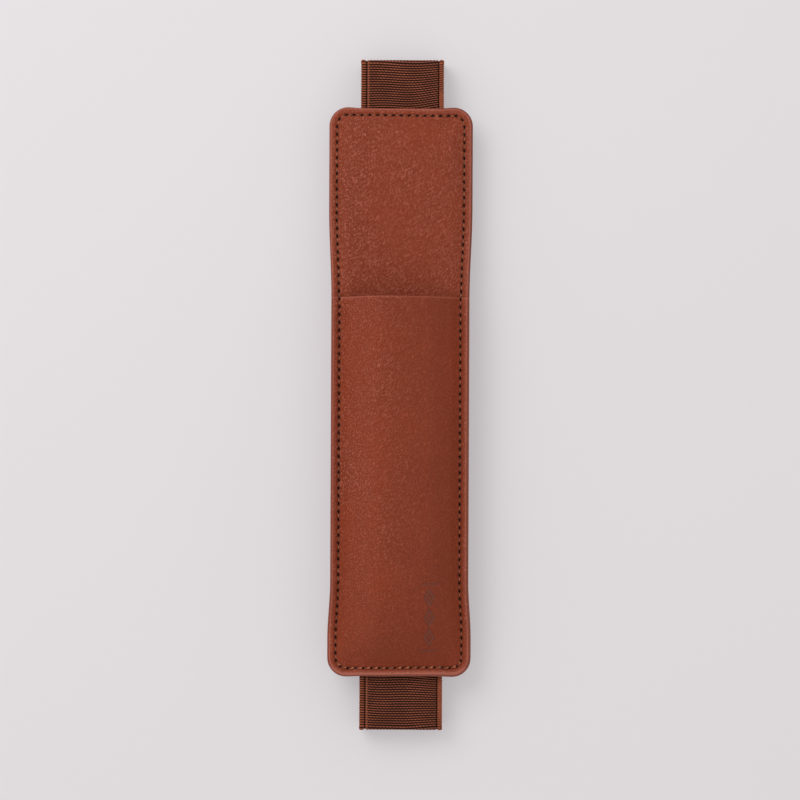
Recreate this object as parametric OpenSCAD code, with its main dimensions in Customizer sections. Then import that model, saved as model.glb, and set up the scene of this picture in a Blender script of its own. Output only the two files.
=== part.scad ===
// A leather sleeve for slim pens, worn on a notebook by a woven elastic band.
// It lies on its band with the pocket up, its mouth towards +Y, and its origin on the resting face.

/* [Case] */
// Length of the leather case
case_l = 180; // [150:1:186]
// Width of the leather case at its ends
case_w = 45.4; // [40:0.2:60]
// Radius of the four outer corners
corner_r = 6; // [5:0.5:9]
// How far each side is drawn in along the filled pocket
waist = 0.9; // [0:0.1:2]
// How far the long edges lift off the cover along the pocket
curl_rise = 2.2; // [0:0.1:4]
// How far the case sits above the middle of the band
case_shift = 1; // [-4:0.5:4]

/* [Leather and lining] */
// Thickness of the back panel
back_t = 1; // [0.6:0.1:1.6]
// Thickness of the face panel
face_t = 1; // [0.6:0.1:1.6]
// Thickness of the pocket panel
pocket_t = 1.1; // [0.6:0.1:1.8]
// Thickness of the pocket's cloth lining
lining_t = 0.3; // [0.2:0.05:0.6]

/* [Stiffening] */
// Thickness of the stiffener board
board_t = 0.6; // [0.4:0.1:1.2]
// Thickness of the foam pad on the board
foam_t = 0.8; // [0.4:0.1:2]
// From the seam to the long edge of the board
board_from_seam = 2.6; // [2:0.1:6]

/* [Pocket] */
// From the bottom edge of the case to the lip of the pocket
pocket_l = 120.3; // [90:0.5:140]
// Depth of the hem turned in at the lip
hem_l = 8; // [5:0.5:15]
// Middle of the wide pen's place, to the left of the case's middle
wide_place = 5.7; // [3:0.1:7]
// Room over the face panel at the wide place
wide_room = 11; // [8:0.1:12]
// Middle of the narrow pen's place, to the right of the case's middle
narrow_place = 8.6; // [6:0.1:10]
// Room over the face panel at the narrow place
narrow_room = 7.8; // [5:0.1:9]
// Length over which the pocket closes down to its bottom seam
toe_l = 28; // [18:1:45]

/* [Seam] */
// From the outline to the seam
seam_inset = 2.6; // [2:0.1:4]
// Length of one stitch from hole to hole
stitch_pitch = 2.5; // [2:0.1:4]
// Diameter of the thread
thread_d = 0.5; // [0.3:0.05:0.8]

/* [Elastic band] */
// Width of the band
tape_w = 26; // [18:0.5:30]
// Thickness of the band at its edges
tape_t = 1.2; // [0.8:0.1:1.5]
// How far the ribbed middle of the band lies below its edges on each face
field_drop = 0.1; // [0.05:0.05:0.2]
// Width of the rolled edge on each side of the band
selvedge_w = 1.6; // [1.4:0.1:2.5]
// Length of band tucked between the panels at each end
tape_tuck = 12; // [8:0.5:18]

/* [Notebook] */
// Length of the notebook or cover that the band goes round
notebook_l = 210; // [206:1:230]
// Thickness of the notebook or cover that the band goes round
notebook_t = 6; // [5:0.5:20]

/* [Hidden] */

leather_brown = [0.50, 0.24, 0.18];
thread_brown = [0.36, 0.22, 0.14];
elastic_brown = [0.28, 0.16, 0.12];

half_w = case_w / 2;
half_l = case_l / 2;
cover_z = tape_t + notebook_t;
lip_y = pocket_l - half_l;

// Bands beside the seam: the layers lie pressed together out to pressed_w inside it.
core_from_seam = 0.8;
room_from_seam = 1.4;
core_start = seam_inset + core_from_seam;
pressed_w = seam_inset + room_from_seam;
board_half_w = half_w - seam_inset - board_from_seam;
tuck_y = half_l - tape_tuck;
board_end_gap = 1;
board_half_l = tuck_y - board_end_gap;
core_fade = 1.8;
hem_step = 0.3;

// Where the filled pocket draws the sides in: from a little above the lip to near the bottom.
draw_top_fade = 28;
draw_bottom = 12;
draw_bottom_fade = 18;
// Share of the half width that stays flat on the cover.
flat_share = 0.35;

// The band's step from between the panels down to the cover, and its fold round the cover's edge.
step_angle = asin(0.28);
step_r = back_t / (2 * (1 - cos(step_angle)));
fold_r = 0.5;
fold_mid_r = fold_r + tape_t / 2;
leg_l = notebook_t - 2 * fold_r;
groove_w = 0.4;
web_t = tape_t / 2;
$fn = 24;

// ---- Helpers ----

function ease(t) = let (c = min(max(t, 0), 1)) c * c * (3 - 2 * c);

function sorted(v) = len(v) < 2 ? v : let (
    pivot = v[floor(len(v) / 2)],
    low = [for (x = v) if (x < pivot) x],
    high = [for (x = v) if (x > pivot) x]
) concat(sorted(low), [pivot], sorted(high));

// Each value once, from a sorted list.
function distinct(v) = [for (i = [0:len(v) - 1]) if (i == 0 || v[i] - v[i - 1] > 0.01) v[i]];

// The named lines, with the spare ones added wherever they stand clear of all named ones.
function with_spares(named, spares, gap) = distinct(sorted(concat(
    named, [for (x = spares) if (min([for (line = named) abs(x - line)]) > gap) x]
)));

// The values that split a span into n equal parts.
function split(low, high, n) = [for (k = [1:n - 1]) low + (high - low) * k / n];

function between(v, low, high) = [for (x = v) if (x >= low && x <= high) x];

// A cubic through two ends, each with its own slope.
function cubic(x, x0, z0, slope0, x1, z1, slope1) = let (
    w = x1 - x0,
    t = (x - x0) / w
) z0 * (1 - t) * (1 - t) * (1 + 2 * t) + z1 * t * t * (3 - 2 * t)
    + slope0 * w * t * (1 - t) * (1 - t) - slope1 * w * t * t * (1 - t);

// ---- Plan of the case ----
// p and q run over a square-cornered plan of the case, so a line of equal q or p near an edge
// follows the rounded outline at an equal distance.

function edge_distance(p, q) = min(half_w - abs(p), half_l - abs(q));

function rounded(p, q) = let (
    s = (abs(p) - half_w + corner_r) / corner_r,
    t = (abs(q) - half_l + corner_r) / corner_r
) s <= 0 || t <= 0 ? [p, q] : let (k = corner_r * max(s, t) / norm([s, t])) [
    sign(p) * (half_w - corner_r + k * s),
    sign(q) * (half_l - corner_r + k * t)
];

// 1 along the filled pocket and 0 at both ends of the case.
function drawn(y) = ease((lip_y + draw_top_fade - y) / draw_top_fade)
    * ease((y + half_l - draw_bottom) / draw_bottom_fade);

function waisted(point) = [point.x * (1 - drawn(point.y) * waist / half_w), point.y];

// ---- Heights of the layers over the cover ----

function curl(x, y) = curl_rise * drawn(y)
    * pow(max(0, (abs(x) / half_w - flat_share) / (1 - flat_share)), 2);

// Thickness of what lies between the back and face panels: the board and foam, or the band's end.
function core(x, y) = let (
    inside_board = min(board_half_w - abs(x), board_half_l - abs(y)),
    inside_tape = min(tape_w / 2 - abs(x), abs(y) - tuck_y)
) max((board_t + foam_t) * ease(1 + inside_board / core_fade), tape_t * ease(1 + inside_tape / core_fade));

function room_across(x) = let (edge = half_w - pressed_w)
    abs(x) >= edge ? 0
    : x < -wide_place ? cubic(x, -edge, 0, 0.6, -wide_place, wide_room, 0)
    : x < narrow_place ? cubic(x, -wide_place, wide_room, 0, narrow_place, narrow_room, -0.25)
    : cubic(x, narrow_place, narrow_room, -0.25, edge, 0, -0.6);

function room_along(y) = let (t = (y + half_l - pressed_w) / toe_l)
    t <= 0 ? 0 : t >= 1 ? 1 : 1 - pow(1 - t, 2.4);

function back_under(x, y) = curl(x, y);
function back_top(x, y) = curl(x, y) + back_t;
function board_top(x, y) = back_top(x, y) + board_t;
function face_under(x, y) = back_top(x, y) + core(x, y);
function face_top(x, y) = face_under(x, y) + face_t;
function lining_under(x, y) = face_top(x, y) + room_across(x) * room_along(y);
function lining_top(x, y) = lining_under(x, y) + lining_t;
function pocket_under(x, y) = y > lip_y - hem_l ? lining_under(x, y) : lining_top(x, y);
function pocket_top(x, y) = lining_top(x, y) + pocket_t;

// ---- Grid lines shared by all the layers, so that they meet face to face ----

edge_lines = [0, seam_inset, core_start, pressed_w];

columns = with_spares(
    concat(
        [for (d = edge_lines, side = [-1, 1]) side * (half_w - d)],
        [for (x = [board_half_w, tape_w / 2, tape_w / 2 + core_fade], side = [-1, 1]) side * x],
        [-wide_place, narrow_place]
    ),
    concat(
        split(-board_half_w, -wide_place, 3),
        split(-wide_place, narrow_place, 4),
        split(narrow_place, board_half_w, 3)
    ),
    1
);

rows = with_spares(
    concat(
        [for (d = edge_lines, side = [-1, 1]) side * (half_l - d)],
        [for (y = [half_l - corner_r, tuck_y, board_half_l], side = [-1, 1]) side * y],
        [lip_y, lip_y - hem_l, lip_y - hem_l - hem_step]
    ),
    concat(
        split(-board_half_l, toe_l - board_half_l, 6),
        split(toe_l - board_half_l, lip_y - hem_l, 6),
        split(lip_y, board_half_l, 5)
    ),
    2
);

// A grid point of the plan, rounded, drawn in and set at its height.
function placed(p, q, height) = let (r = rounded(p, q)) concat(waisted(r), [height(r.x, r.y)]);

// A closed sheet between two heights, over grid lines p_lines by q_lines.
module layer(p_lines, q_lines, low, high) {
    n = len(p_lines);
    m = len(q_lines);
    function at(i, j, top) = top * n * m + j * n + i;
    function wall(i0, j0, i1, j1) = [
        [at(i0, j0, 0), at(i0, j0, 1), at(i1, j1, 1)],
        [at(i0, j0, 0), at(i1, j1, 1), at(i1, j1, 0)]
    ];
    points = [for (height = [low, high], q = q_lines, p = p_lines) placed(p, q, height)];
    cells = [for (j = [0:m - 2], i = [0:n - 2]) each [
        [at(i, j, 1), at(i, j + 1, 1), at(i + 1, j + 1, 1)],
        [at(i, j, 1), at(i + 1, j + 1, 1), at(i + 1, j, 1)],
        [at(i, j, 0), at(i + 1, j + 1, 0), at(i, j + 1, 0)],
        [at(i, j, 0), at(i + 1, j, 0), at(i + 1, j + 1, 0)]
    ]];
    walls = concat(
        [for (i = [0:n - 2]) each wall(i, 0, i + 1, 0)],
        [for (i = [0:n - 2]) each wall(i + 1, m - 1, i, m - 1)],
        [for (j = [0:m - 2]) each wall(0, j + 1, 0, j)],
        [for (j = [0:m - 2]) each wall(n - 1, j, n - 1, j + 1)]
    );
    polyhedron(points = points, faces = concat(cells, walls));
}

// Sets the case on the notebook's cover.
module on_cover() {
    translate([0, case_shift, cover_z]) children();
}

// ---- Leather, lining and stiffening ----

module back_panel() {
    color(leather_brown) on_cover()
        layer(columns, rows, function (x, y) back_under(x, y), function (x, y) back_top(x, y));
}

module stiffener_board() {
    color("tan") on_cover()
        layer(
            between(columns, -board_half_w, board_half_w),
            between(rows, -board_half_l, board_half_l),
            function (x, y) back_top(x, y),
            function (x, y) board_top(x, y)
        );
}

module foam_pad() {
    color("whitesmoke") on_cover()
        layer(
            between(columns, -board_half_w, board_half_w),
            between(rows, -board_half_l, board_half_l),
            function (x, y) board_top(x, y),
            function (x, y) board_top(x, y) + foam_t
        );
}

module face_panel() {
    color(leather_brown) on_cover()
        layer(columns, rows, function (x, y) face_under(x, y), function (x, y) face_top(x, y));
}

module pocket_lining() {
    color("dimgray") on_cover()
        layer(
            columns,
            between(rows, -half_l, lip_y - hem_l - hem_step),
            function (x, y) lining_under(x, y),
            function (x, y) lining_top(x, y)
        );
}

module pocket_panel() {
    color(leather_brown) on_cover()
        layer(
            columns,
            between(rows, -half_l, lip_y),
            function (x, y) pocket_under(x, y),
            function (x, y) pocket_top(x, y)
        );
}

// ---- Seam ----

seam_half_w = half_w - seam_inset;
seam_half_l = half_l - seam_inset;
seam_r = corner_r - seam_inset;
seam_bend = PI * seam_r / 2;
seam_quarter = seam_half_w + seam_half_l - 2 * seam_r + seam_bend;
stitches = round(4 * seam_quarter / stitch_pitch);
stitch_step = 4 * seam_quarter / stitches;
hole_gap = 0.7;
thread_clear = 0.08;

// A point of one quarter of the seam, from the middle of the top to the middle of the right side.
function quarter_point(s) = let (
    flat_w = seam_half_w - seam_r,
    angle = (s - flat_w) / seam_r * 180 / PI
) s < flat_w ? [s, seam_half_l]
    : s < flat_w + seam_bend ? [flat_w + seam_r * sin(angle), seam_half_l - seam_r + seam_r * cos(angle)]
    : [seam_half_w, seam_half_l - seam_r - (s - flat_w - seam_bend)];

function seam_point(s) = let (
    turn = floor(s / seam_quarter) % 4,
    t = s - seam_quarter * floor(s / seam_quarter),
    point = quarter_point(turn % 2 == 0 ? t : seam_quarter - t)
) [turn < 2 ? point.x : -point.x, turn == 0 || turn == 3 ? point.y : -point.y];

// A point between two grid lines, on the straight edge that joins them.
function between_lines(lines, v, at) = let (
    i = max([for (k = [0:len(lines) - 2]) if (lines[k] <= v) k]),
    t = (v - lines[i]) / (lines[i + 1] - lines[i])
) (1 - t) * at(lines[i]) + t * at(lines[i + 1]);

// Where the seam meets the grid of a layer.
function seam_place(point, height) =
    abs(point.y) < half_l - corner_r
    ? between_lines(rows, point.y, function (q) placed(point.x, q, height))
    : abs(point.x) < half_w - corner_r
    ? between_lines(columns, point.x, function (p) placed(p, point.y, height))
    : concat(waisted(point), [height(point.x, point.y)]);

module stitch(from, to) {
    run = to - from;
    translate(from) rotate([0, acos(run.z / norm(run)), atan2(run.y, run.x)]) {
        cylinder(d = thread_d, h = norm(run));
        sphere(d = thread_d);
        translate([0, 0, norm(run)]) sphere(d = thread_d);
    }
}

// One stitch for each hole of the seam, on the upper side (1) or the lower (-1). It lies clear of the
// layer all along, and one that crosses the lip of the pocket keeps to the pocket's height at both ends.
module stitch_row(side, layer_at) {
    for (k = [0:stitches - 1]) {
        s = [k * stitch_step + hole_gap / 2, (k + 1) * stitch_step - hole_gap / 2];
        ends = [for (place = s) let (point = seam_point(place))
            seam_place(point, layer_at(point.y - side * stitch_step))];
        run = ends[1] - ends[0];
        crests = [for (t = [0.25, 0.5, 0.75]) let (point = seam_point(s[0] + (s[1] - s[0]) * t))
            side * (seam_place(point, layer_at(point.y)).z - ends[0].z - run.z * t)];
        over = (thread_d / 2 + thread_clear) * norm(run) / norm([run.x, run.y]) + max(0, max(crests));
        stitch(ends[0] + [0, 0, side * over], ends[1] + [0, 0, side * over]);
    }
}

module needle_thread() {
    color(thread_brown) on_cover() stitch_row(1, function (at_y)
        at_y > lip_y ? function (x, y) face_top(x, y) : function (x, y) pocket_top(x, y));
}

module bobbin_thread() {
    color(thread_brown) on_cover() stitch_row(-1, function (at_y) function (x, y) back_under(x, y));
}

// ---- Elastic band ----

// Cross-section of the band: width along X, thickness along Y.
module tape_section() {
    bead_x = (tape_w - selvedge_w) / 2;
    square([2 * bead_x, web_t], center = true);
    square([tape_w - 2 * (selvedge_w + groove_w), tape_t - 2 * field_drop], center = true);
    for (side = [-1, 1]) translate([side * bead_x, 0]) {
        square([selvedge_w - tape_t, tape_t], center = true);
        for (end = [-1, 1]) translate([end * (selvedge_w - tape_t) / 2, 0]) circle(d = tape_t);
    }
}

module tape_straight(l) {
    translate([0, l, 0]) rotate([90, 0, 0]) linear_extrude(l) tape_section();
}

// A bend that turns the band down through the given angle, from a level start.
module tape_bend(r, angle) {
    reach = 2 * (r + tape_t);
    translate([0, 0, -r]) intersection() {
        rotate([0, -90, 0]) rotate_extrude(angle = 90) translate([r, 0]) rotate(90) tape_section();
        rotate([-angle, 0, 0]) translate([-tape_w, -reach, -reach]) cube([2 * tape_w, reach, 2 * reach]);
    }
}

// A run of band along +Y: each piece is [length] or [radius, angle], a negative angle turning up.
module tape_run(pieces, i = 0) {
    if (i < len(pieces)) {
        piece = pieces[i];
        if (len(piece) == 1) {
            tape_straight(piece[0]);
            translate([0, piece[0], 0]) tape_run(pieces, i + 1);
        } else {
            up = piece[1] < 0 ? 1 : 0;
            angle = abs(piece[1]);
            mirror([0, 0, up]) tape_bend(piece[0], angle);
            mirror([0, 0, up]) translate([0, piece[0] * sin(angle), piece[0] * (cos(angle) - 1)])
                rotate([-angle, 0, 0]) mirror([0, 0, up]) tape_run(pieces, i + 1);
        }
    }
}

// One end of the band, from between the panels to just round the cover's edge. end is 1 or -1.
module tab(end) {
    inner_y = tuck_y + end * case_shift;
    step_l = 2 * step_r * sin(step_angle);
    flat_l = notebook_l / 2 - fold_r - inner_y - tape_tuck - step_l;
    color(elastic_brown) mirror([0, end < 0 ? 1 : 0, 0])
        translate([0, inner_y, cover_z + back_t + tape_t / 2])
            tape_run([[tape_tuck], [step_r, step_angle], [step_r, -step_angle], [flat_l], [fold_mid_r, 90]]);
}

// The short upright run of the band over the notebook's edge.
module leg(end) {
    color(elastic_brown) mirror([0, end < 0 ? 1 : 0, 0])
        translate([0, notebook_l / 2 + tape_t / 2, tape_t + fold_r]) rotate([90, 0, 0])
            tape_straight(leg_l);
}

// The quarter turn of the band from under the notebook up to its leg.
module turn(end) {
    color(elastic_brown) mirror([0, end < 0 ? 1 : 0, 0]) translate([0, notebook_l / 2 - fold_r, tape_t / 2])
        mirror([0, 0, 1]) tape_bend(fold_mid_r, 90);
}

module elastic_top_tab() {
    tab(1);
}

module elastic_top_leg() {
    leg(1);
}

module elastic_bottom_leg() {
    leg(-1);
}

module elastic_bottom_tab() {
    tab(-1);
}

module elastic_top_turn() {
    turn(1);
}

module elastic_bottom_turn() {
    turn(-1);
}

module elastic_back_run() {
    color(elastic_brown) translate([0, fold_r - notebook_l / 2, tape_t / 2])
        tape_straight(notebook_l - 2 * fold_r);
}

back_panel();
stiffener_board();
foam_pad();
face_panel();
pocket_lining();
pocket_panel();
needle_thread();
bobbin_thread();
elastic_top_tab();
elastic_top_leg();
elastic_top_turn();
elastic_back_run();
elastic_bottom_turn();
elastic_bottom_leg();
elastic_bottom_tab();
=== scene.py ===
"""Fountain pen case: a stitched leather sleeve and its elastic band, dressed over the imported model."""

import logging
import math
from collections.abc import Callable, Iterable
from dataclasses import dataclass
from enum import Enum

import bmesh
import bpy
import numpy as np
from mathutils import Matrix, Vector, noise


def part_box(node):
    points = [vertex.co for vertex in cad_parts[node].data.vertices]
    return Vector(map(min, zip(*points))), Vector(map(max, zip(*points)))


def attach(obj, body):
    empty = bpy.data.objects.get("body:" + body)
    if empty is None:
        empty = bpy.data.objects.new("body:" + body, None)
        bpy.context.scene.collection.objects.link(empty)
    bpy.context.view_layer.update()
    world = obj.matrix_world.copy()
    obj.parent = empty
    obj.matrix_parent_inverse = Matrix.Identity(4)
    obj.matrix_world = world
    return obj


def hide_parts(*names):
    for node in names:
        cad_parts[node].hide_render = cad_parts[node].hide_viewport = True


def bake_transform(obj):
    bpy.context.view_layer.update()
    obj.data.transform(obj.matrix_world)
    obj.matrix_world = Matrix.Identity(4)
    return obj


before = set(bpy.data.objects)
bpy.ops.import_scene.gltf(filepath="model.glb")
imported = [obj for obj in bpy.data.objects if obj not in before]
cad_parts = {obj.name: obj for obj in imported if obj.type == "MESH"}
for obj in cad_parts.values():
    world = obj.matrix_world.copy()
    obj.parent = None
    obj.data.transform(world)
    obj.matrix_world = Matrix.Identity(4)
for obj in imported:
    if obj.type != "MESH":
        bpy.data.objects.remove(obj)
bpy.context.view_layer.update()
log = logging.getLogger("pen_case")

MM = 0.001
# The length of a stitch along the seam and the pitch of the beads across the band, in millimetres.
STITCH_MM = 2.48
BEAD_MM = 1.05
Array = np.ndarray
Colour = tuple[float, float, float]
Height = Callable[[Array, Array, Array], Array]


# ---- Small maths ----


def ease(t: Array | float) -> Array | float:
    """A smooth step from 0 to 1 as t goes from 0 to 1."""
    c = np.clip(t, 0.0, 1.0)
    return c * c * (3 - 2 * c)


def hump(x: Array | float, width: float) -> Array | float:
    """A round hump of height 1 over x = 0, with the given half width."""
    return np.exp(-((x / width) ** 2))


def cubic(x: Array, x0: float, z0: float, slope0: float, x1: float, z1: float, slope1: float) -> Array:
    """A cubic between two ends, each with its own height and slope.

    Args:
        x: Where it is read.
        x0, z0, slope0: Place, height and slope of the first end.
        x1, z1, slope1: Place, height and slope of the second end.

    Returns:
        The heights at x.
    """
    w = x1 - x0
    t = (x - x0) / w
    ends = z0 * (1 - t) ** 2 * (1 + 2 * t) + z1 * t**2 * (3 - 2 * t)
    return ends + slope0 * w * t * (1 - t) ** 2 - slope1 * w * t**2 * (1 - t)


def plan_lines(
    low: float, high: float, low_steps: Iterable[float], high_steps: Iterable[float], step: float
) -> Array:
    """Grid lines over a span, fine near both ends and even between them.

    Args:
        low, high: The span's ends.
        low_steps, high_steps: Distances of the fine lines from each end.
        step: The widest spacing between them.

    Returns:
        The lines in rising order.
    """
    first = [low + d for d in low_steps]
    last = [high - d for d in high_steps]
    count = max(2, math.ceil((last[-1] - first[-1]) / step))
    middle = np.linspace(first[-1], last[-1], count + 1)[1:-1]
    return np.array(sorted({*np.round(first, 9), *np.round(middle, 9), *np.round(last, 9)}))


# ---- The case's form ----


@dataclass(frozen=True)
class CaseForm:
    """The plan of the case and the heights of its layers, in metres.

    p and q run over a square-cornered plan, so lines of equal p or q near an edge follow the rounded outline.
    """

    half_w: float
    half_l: float
    lip_y: float
    cover_z: float
    shift_y: float
    lip_drop: float = 0.5 * MM
    corner_r: float = 6.0 * MM
    waist: float = 0.9 * MM
    curl_rise: float = 2.2 * MM
    flat_share: float = 0.35
    end_dip: float = 0.3 * MM
    dip_past_tape: float = 4.0 * MM
    dip_fade: float = 5.0 * MM
    dip_l: float = 8.0 * MM
    back_t: float = 1.0 * MM
    face_t: float = 1.0 * MM
    pocket_t: float = 1.1 * MM
    lining_t: float = 0.3 * MM
    board_t: float = 0.6 * MM
    foam_t: float = 0.8 * MM
    core_fade: float = 1.8 * MM
    swell_side: tuple[float, float] = (2.3 * MM, 4.4 * MM)
    swell_end: tuple[float, float] = (1.8 * MM, 8.0 * MM)
    swell_tape: tuple[float, float] = (3.5 * MM, 5.0 * MM)
    swell_tuck: tuple[float, float] = (20.0 * MM, 8.0 * MM)
    board_from_edge: float = 5.2 * MM
    hem_l: float = 8.0 * MM
    hem_fade: float = 0.3 * MM
    tape_half_w: float = 13.0 * MM
    tape_t: float = 1.2 * MM
    tape_tuck: float = 12.0 * MM
    board_end_gap: float = 1.0 * MM
    wide_place: float = 5.7 * MM
    wide_room: float = 11.0 * MM
    narrow_place: float = 8.6 * MM
    narrow_room: float = 7.8 * MM
    side_slope: float = 0.6
    ridge_slope: float = -0.25
    pressed_w: float = 4.0 * MM
    toe_l: float = 28.0 * MM
    toe_power: float = 2.4
    draw_top_fade: float = 28.0 * MM
    draw_bottom: float = 12.0 * MM
    draw_bottom_fade: float = 18.0 * MM

    @classmethod
    def from_frame(cls) -> "CaseForm":
        """Takes the outline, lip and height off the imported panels.

        Returns:
            The form that fits them.
        """
        low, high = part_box("back_panel")
        shift = (low.y + high.y) / 2
        return cls(
            half_w=(high.x - low.x) / 2,
            half_l=(high.y - low.y) / 2,
            lip_y=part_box("pocket_panel")[1].y - shift - cls.lip_drop,
            cover_z=low.z,
            shift_y=shift,
        )

    def edge_distance(self, p: Array, q: Array) -> Array:
        """Distance inside the outline."""
        return np.minimum(self.half_w - np.abs(p), self.half_l - np.abs(q))

    def rounded(self, p: Array, q: Array) -> tuple[Array, Array]:
        """Moves plan points near a corner onto the round corner's own rings.

        Args:
            p, q: Places on the square-cornered plan.

        Returns:
            X and Y on the rounded plan.
        """
        s = (np.abs(p) - self.half_w + self.corner_r) / self.corner_r
        t = (np.abs(q) - self.half_l + self.corner_r) / self.corner_r
        corner = (s > 0) & (t > 0)
        k = np.where(corner, np.maximum(s, t) / np.maximum(np.hypot(s, t), 1e-9), 1.0)
        x = np.where(corner, np.sign(p) * (self.half_w - self.corner_r + self.corner_r * k * s), p)
        y = np.where(corner, np.sign(q) * (self.half_l - self.corner_r + self.corner_r * k * t), q)
        return x, y

    def drawn(self, y: Array) -> Array:
        """1 along the filled pocket and 0 at both ends of the case."""
        top = ease((self.lip_y + self.draw_top_fade - y) / self.draw_top_fade)
        return top * ease((y + self.half_l - self.draw_bottom) / self.draw_bottom_fade)

    def placed(self, x: Array, y: Array) -> tuple[Array, Array]:
        """Draws the rounded plan in along the pocket and at the ends.

        Args:
            x, y: Places on the rounded plan.

        Returns:
            X and Y in the object's frame.
        """
        dip = self.end_dip * ease((self.tape_half_w + self.dip_past_tape - np.abs(x)) / self.dip_fade)
        dip = dip * ease((np.abs(y) - self.half_l + self.dip_l) / self.dip_l)
        return x * (1 - self.drawn(y) * self.waist / self.half_w), y - np.sign(y) * dip + self.shift_y

    def curl(self, x: Array, y: Array) -> Array:
        """How far the panels lift off the cover towards their long edges."""
        share = np.maximum(0, (np.abs(x) / self.half_w - self.flat_share) / (1 - self.flat_share))
        return self.curl_rise * self.drawn(y) * share**2

    def core(self, x: Array, y: Array) -> Array:
        """Thickness of what lies between the back and face panels.

        Args:
            x, y: Places on the rounded plan.

        Returns:
            The thickness there.
        """
        tuck_y = self.half_l - self.tape_tuck
        board_w, board_l = self.half_w - self.board_from_edge, tuck_y - self.board_end_gap
        board = np.minimum(board_w - np.abs(x), board_l - np.abs(y))
        tape = np.minimum(self.tape_half_w - np.abs(x), np.abs(y) - tuck_y)
        return np.maximum(
            (self.board_t + self.foam_t) * ease(1 + board / self.core_fade),
            self.tape_t * ease(1 + tape / (2 * self.core_fade)),
        )

    def soft_core(self, x: Array, y: Array) -> Array:
        """The core's thickness as it shows through the leather over it, with its edges bridged.

        Each swell_ pair gives how far from an edge the swelling starts and over how far it rises.

        Args:
            x, y: Places on the rounded plan.

        Returns:
            The thickness there.
        """
        x, y = np.abs(x), np.abs(y)
        board = ease((self.half_w - self.swell_side[0] - x) / self.swell_side[1])
        board = (self.board_t + self.foam_t) * board
        board = board * ease((self.half_l - self.swell_end[0] - y) / self.swell_end[1])
        tape = self.tape_t * ease((self.tape_half_w + self.swell_tape[0] - x) / self.swell_tape[1])
        return np.maximum(board, tape * ease((y - self.half_l + self.swell_tuck[0]) / self.swell_tuck[1]))

    def room(self, x: Array, y: Array) -> Array:
        """Room in the pocket over the face panel.

        Args:
            x, y: Places on the rounded plan.

        Returns:
            The height of the room there.
        """
        edge = self.half_w - self.pressed_w
        left = (-edge, 0, self.side_slope)
        wide = (-self.wide_place, self.wide_room, 0)
        narrow = (self.narrow_place, self.narrow_room, self.ridge_slope)
        right = (edge, 0, -self.side_slope)
        inner = np.where(x < self.narrow_place, cubic(x, *wide, *narrow), cubic(x, *narrow, *right))
        across = np.where(x < -self.wide_place, cubic(x, *left, *wide), inner)
        t = np.clip((y + self.half_l - self.pressed_w) / self.toe_l, 0, 1)
        return np.where(np.abs(x) >= edge, 0, across * (1 - (1 - t) ** self.toe_power))

    def back_under(self, x: Array, y: Array) -> Array:
        """Height of the back panel's underside."""
        return self.cover_z + self.curl(x, y)

    def back_top(self, x: Array, y: Array) -> Array:
        """Height of the back panel's upper side."""
        return self.back_under(x, y) + self.back_t

    def face_under(self, x: Array, y: Array) -> Array:
        """Height of the face panel's underside."""
        return self.back_top(x, y) + self.core(x, y)

    def face_top(self, x: Array, y: Array) -> Array:
        """Height of the face panel's upper side."""
        return self.face_under(x, y) + self.face_t

    def lining_under(self, x: Array, y: Array) -> Array:
        """Height of the lining's inner side."""
        return self.face_top(x, y) + self.room(x, y)

    def lining_top(self, x: Array, y: Array) -> Array:
        """Height of the lining's outer side."""
        return self.lining_under(x, y) + self.lining_t

    def pocket_under(self, x: Array, y: Array) -> Array:
        """Height of the pocket panel's inner side, with its hem turned in at the lip."""
        hem = ease((y - self.lip_y + self.hem_l) / self.hem_fade)
        return self.lining_top(x, y) - self.lining_t * hem

    def face_shown(self, x: Array, y: Array) -> Array:
        """Height of the face panel's upper side as leather shows it."""
        return self.back_top(x, y) + self.soft_core(x, y) + self.face_t

    def pocket_shown(self, x: Array, y: Array) -> Array:
        """Height of the pocket panel's outer side as leather shows it."""
        return self.face_shown(x, y) + self.room(x, y) + self.lining_t + self.pocket_t


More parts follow.
